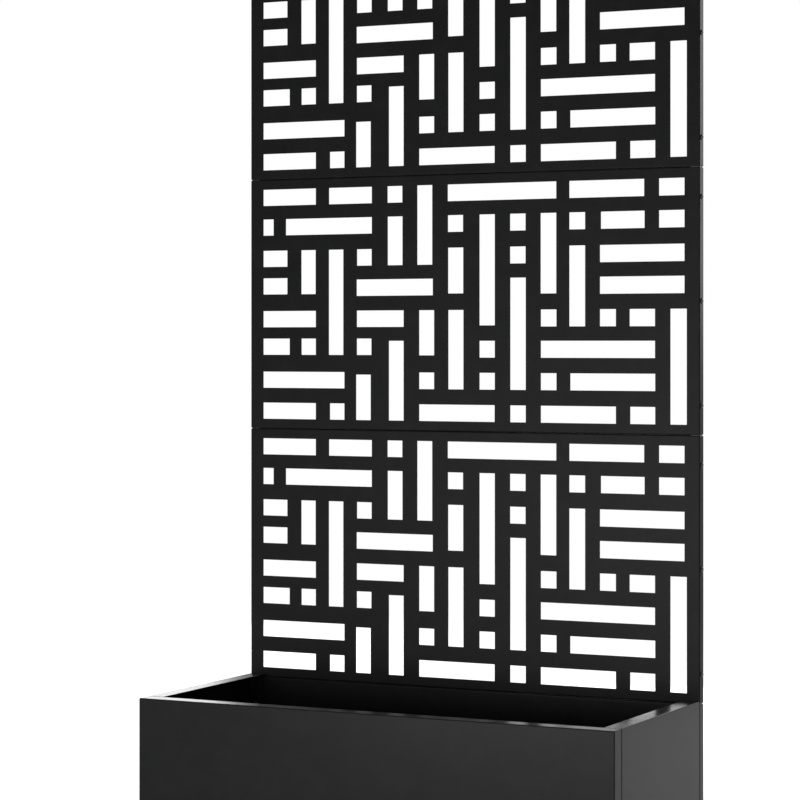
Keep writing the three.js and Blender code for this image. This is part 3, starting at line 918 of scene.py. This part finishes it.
def make_corner_angles():
    low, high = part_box("corner_bracket_right")
    centre = (high.x - ANGLE_RADIUS, high.y - ANGLE_RADIUS)
    outline = [(low.x, high.y), *arc(centre, ANGLE_RADIUS, 90, 0), (high.x, low.y),
               (high.x - ANGLE_WALL, low.y), *arc(centre, ANGLE_RADIUS - ANGLE_WALL, 0, 90),
               (low.x, high.y - ANGLE_WALL)]
    angle = extruded_outline("corner_angle_right", outline, low.z, high.z)
    punched(angle, "upright_coat", [
        *bolt_holes(nodes_named("corner_nut_right"), high.x - ANGLE_WALL / 2),
        *bolt_holes(nodes_named("corner_bolt_right"), high.y - ANGLE_WALL / 2)])
    break_edges(angle, "upright_coat")
    fit(angle, "upright_coat", "corner_bracket_right")
    fit(copied(angle, "corner_angle_left", MIRROR), "upright_coat", "corner_bracket_left")


def make_floor_tray():
    low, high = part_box("floor_tray")
    tray = thickened(folded_tray("base_tray", low, high, "+Z"))
    drains = []
    for column in DRAIN_COLUMNS:
        for row in DRAIN_ROWS:
            at = (high.x * column, low.y + (high.y - low.y) * row, low.z)
            drains.append(round_cut(at, UPWARDS, DRAIN_RADIUS, 2 * (SHEET + CUT_REACH)))
    punched(tray, "tray_coat", drains)
    fit(break_edges(tray, "tray_coat"), "tray_coat", "floor_tray")


def make_cross_tubes():
    for place in ("left", "middle", "right"):
        node = "cross_member_" + place
        low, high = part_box(node)
        middle = (low + high) / 2
        width, length, height = high - low
        tube = square_tube("cross_tube_" + place, (width, height, length), CROSS_TUBE_RADIUS,
                           "tray_coat")
        tube.data.transform(Matrix.Translation((middle.x, low.y, middle.z))
                            @ Matrix.Rotation(-math.pi / 2, 4, "X"))
        fit(break_edges(tube, "tray_coat"), "tray_coat", node)


# ---- Fixings and feet ---------------------------------------------------------------------------

# Outlines in mm: a foot's rows are a radius and a height over the floor, its shoulder or its tip.
FOOT_BASE = [(0, 0.8), (5.5, 0.8), (6.3, 0), (14.9, 0), (15.4, 0.15), (15.8, 0.6), (16, 1.4),
             (15.9, 2.4)]
FOOT_SHOULDER = [(14.3, -1.6), (14.0, -0.7), (13.4, -0.15), (12.8, 0), (4.0, 0), (4.0, 2.2),
                 (4.35, 2.7), (4.35, 3.3)]
FOOT_TIP = [(3.5, -0.8), (2.9, -0.1), (2.2, 0), (0, 0)]
NUT_END_LEVELS = (0, 0.1, 0.2, 0.35, 0.5)  # in from both ends of a nut
NUT_THREAD_ROWS = 20


def thread_cut(height, share):
    """How deep a thread is cut at a height and a share of a turn."""
    wave = (height / THREAD_PITCH - share) % 1.0
    return THREAD_DEPTH * abs(2 * wave - 1)


def threaded_rows(start, end):
    """Rows of a threaded length of BOLT_RADIUS, whose end is a little thinner."""
    count = round(abs(end - start) * THREAD_ROWS / THREAD_PITCH)
    rows = [(BOLT_RADIUS, start + (end - start) * i / count) for i in range(count)]
    return [*rows, (BOLT_RADIUS - THREAD_LEAD, end)]


def threaded(radius, height, share):
    return radius - thread_cut(height, share) if radius == BOLT_RADIUS else radius


def threaded_stud(nut_box):
    """A threaded stud from inside a return's sheet, through the nut."""
    low, high = nut_box
    side = math.copysign(1, low.x)
    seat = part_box("front_panel")[1].x - SHEET / 2
    length = seat - (min(abs(low.x), abs(high.x)) - STUD_OVERHANG)
    profile = [(0, 0), *threaded_rows(0, length), (0, length)]
    stud = turned("stud", profile, BOLT_SIDES, threaded)
    at = (side * seat, (low.y + high.y) / 2, (low.z + high.z) / 2)
    stud.data.transform(Matrix.Translation(at) @ Matrix.Rotation(-side * math.pi / 2, 4, "Y"))
    return stud


def button_bolt(length):
    """A button-head bolt along Z with its head's top at zero, as long as given in all."""
    rows = [(0, 0), (HEAD_FLAT, 0)]
    for step in range(1, DOME_STEPS + 1):
        turn = math.radians(90 * step / DOME_STEPS)
        rows.append((HEAD_FLAT + (HEAD_RADIUS - HEAD_FLAT) * math.sin(turn),
                     -HEAD_FALL * (1 - math.cos(turn))))
    rows += [(HEAD_RADIUS, -HEAD_HEIGHT + HEAD_CHAMFER),
             (HEAD_RADIUS - HEAD_CHAMFER, -HEAD_HEIGHT)]
    rows += threaded_rows(-HEAD_HEIGHT, -length)
    bolt = turned("bolt", [*rows, (0, -length)], BOLT_SIDES, threaded)
    socket = round_cut((0, 0, 0), UPWARDS, SOCKET_RADIUS, 2 * SOCKET_DEPTH)
    punched(bolt, "black_bolt", [socket], sides=6)
    return break_edges(bolt, "black_bolt", BOLT_BREAK)


def hexagon_reach(radius, height, share):
    """A nut's outline: a hexagon whose corners are turned down at both ends, round its thread."""
    if radius < NUT_RADIUS:
        return radius + THREAD_DEPTH - thread_cut(height, share)
    flat = NUT_RADIUS * math.cos(math.pi / 6)
    across = flat / math.cos((share * 2 * math.pi) % (math.pi / 3) - math.pi / 6)
    near_end = min(height, NUT_HEIGHT - height)
    return min(across, flat * NUT_FACE + near_end * NUT_TURN_DOWN)


def hexagon_nut():
    """A nut along Z with its seat at zero."""
    below = [(NUT_RADIUS, level * MM) for level in NUT_END_LEVELS]
    above = [(NUT_RADIUS, NUT_HEIGHT - level * MM) for level in reversed(NUT_END_LEVELS)]
    inside = [(NUT_BORE, NUT_HEIGHT * (1 - i / NUT_THREAD_ROWS))
              for i in range(NUT_THREAD_ROWS + 1)]
    nut = turned("nut", [*below, *above, *inside], NUT_SIDES, hexagon_reach, closed=True)
    return break_edges(coat(nut, "zinc_nut"), "zinc_nut", NUT_BREAK)


def repeated(name, piece, slot, nodes, places):
    """One mesh of a made piece at several places."""
    points = places_object(name, places)
    grow(points, REPEATING, Piece=piece, Finish=FINISHES[slot])
    settled(points)
    bpy.data.objects.remove(piece)
    return fit(coat(points, slot), slot, *nodes)


def make_fixings():
    for kind, along in (("lattice", 0), ("corner", 1), ("back", 1)):
        nodes = nodes_named(kind + "_bolt")
        low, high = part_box(nodes[0])
        bolt = button_bolt(high[along] - low[along])
        repeated(kind + "_bolts", bolt, "black_bolt", nodes, [fixing(node) for node in nodes])
    nodes = nodes_named("corner_nut")
    repeated("corner_nuts", hexagon_nut(), "zinc_nut", nodes, [fixing(node) for node in nodes])


def make_feet():
    nodes = nodes_named("foot_")
    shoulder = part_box("front_panel")[0].z - FIT_GAP
    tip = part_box(nodes[0])[1].z
    profile = [(radius * MM, start + level * MM)
               for start, rows in ((0, FOOT_BASE), (shoulder, FOOT_SHOULDER), (tip, FOOT_TIP))
               for radius, level in rows]
    foot = turned("foot", profile, FOOT_SIDES)
    break_edges(coat(foot, "black_plastic"), "black_plastic", FOOT_BREAK)
    places = []
    for node in nodes:
        low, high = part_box(node)
        places.append({"at": ((low.x + high.x) / 2, (low.y + high.y) / 2, 0)})
    repeated("feet", foot, "black_plastic", nodes, places)


# ---- Stage, light and everything in its place ---------------------------------------------------

FLOOR_REACH = 30.0
STUDIO_GLOW = 0.28  # how much of its own white the studio gives as light
TOP_LIGHT = 2.98
TOP_LIGHT_SPREAD = math.radians(60)
SOFTBOXES = {  # where each stands, where it looks, its width and height, and its brightness
    "front_light": ((-0.35, -4.2, 0.5), (0.0, 0.0, 0.35), (3.2, 1.0), 16.0),
    "back_left_light": ((-4.4, 3.4, 1.1), (-0.9, 0.0, 0.6), (3.4, 2.0), 4.4),
    "back_middle_light": ((-0.6, 3.4, 1.1), (0.4, 0.0, 0.5), (1.3, 2.0), 2.2),
    "back_right_light": ((1.75, 3.4, 2.4), (0.6, 0.2, 1.5), (1.2, 2.4), 5.5),
}


def make_stage():
    floor = Finish("pale_floor")
    floor.set(Base_Color=grey(0.86), Roughness=0.8, Specular_IOR_Level=0.2)
    shape = bmesh.new()
    bmesh.ops.create_grid(shape, size=FLOOR_REACH)
    piece = object_from(shape, "floor")
    piece.data.materials.append(floor.material)


def softbox(name, at, look_at, size, brightness):
    """A rectangular light that isn't seen itself, as bright as given where it is reflected."""
    width, height = size
    data = bpy.data.lights.new(name, "AREA")
    data.shape = "RECTANGLE"
    data.size = width
    data.size_y = height
    data.energy = brightness * math.pi * width * height
    light = bpy.data.objects.new(name, data)
    light.location = at
    light.rotation_euler = (Vector(look_at) - Vector(at)).to_track_quat("-Z", "Y").to_euler()
    light.visible_camera = False
    bpy.context.scene.collection.objects.link(light)


def top_light():
    """A very soft light from straight above, the same all over the floor and in no reflection."""
    data = bpy.data.lights.new("top_light", "SUN")
    data.energy = TOP_LIGHT
    data.angle = TOP_LIGHT_SPREAD
    light = bpy.data.objects.new("top_light", data)
    light.visible_glossy = False
    bpy.context.scene.collection.objects.link(light)


def white_studio():
    """A white background that lights the object more softly than it looks."""
    world = bpy.data.worlds.new("studio")
    world.use_nodes = True
    tree = world.node_tree
    background = tree.nodes["Background"]
    background.inputs["Color"].default_value = (1, 1, 1, 1)
    path = tree.nodes.new("ShaderNodeLightPath")
    shown = tree.nodes.new("ShaderNodeMath")
    shown.operation = "MULTIPLY_ADD"
    shown.inputs[1].default_value = 1.0 - STUDIO_GLOW
    shown.inputs[2].default_value = STUDIO_GLOW
    tree.links.new(path.outputs["Is Camera Ray"], shown.inputs[0])
    tree.links.new(shown.outputs[0], background.inputs["Strength"])
    bpy.context.scene.world = world


def make_light():
    bpy.context.scene.view_settings.view_transform = "Standard"
    white_studio()
    top_light()
    for name, settings in SOFTBOXES.items():
        softbox(name, *settings)


make_camera()
make_lattice_pans()
make_uprights()
make_sleeves()
make_caps()
make_front_pan()
make_side_pans()
make_back_pan()
make_corner_angles()
make_floor_tray()
make_cross_tubes()
make_fixings()
make_feet()
make_stage()
make_light()
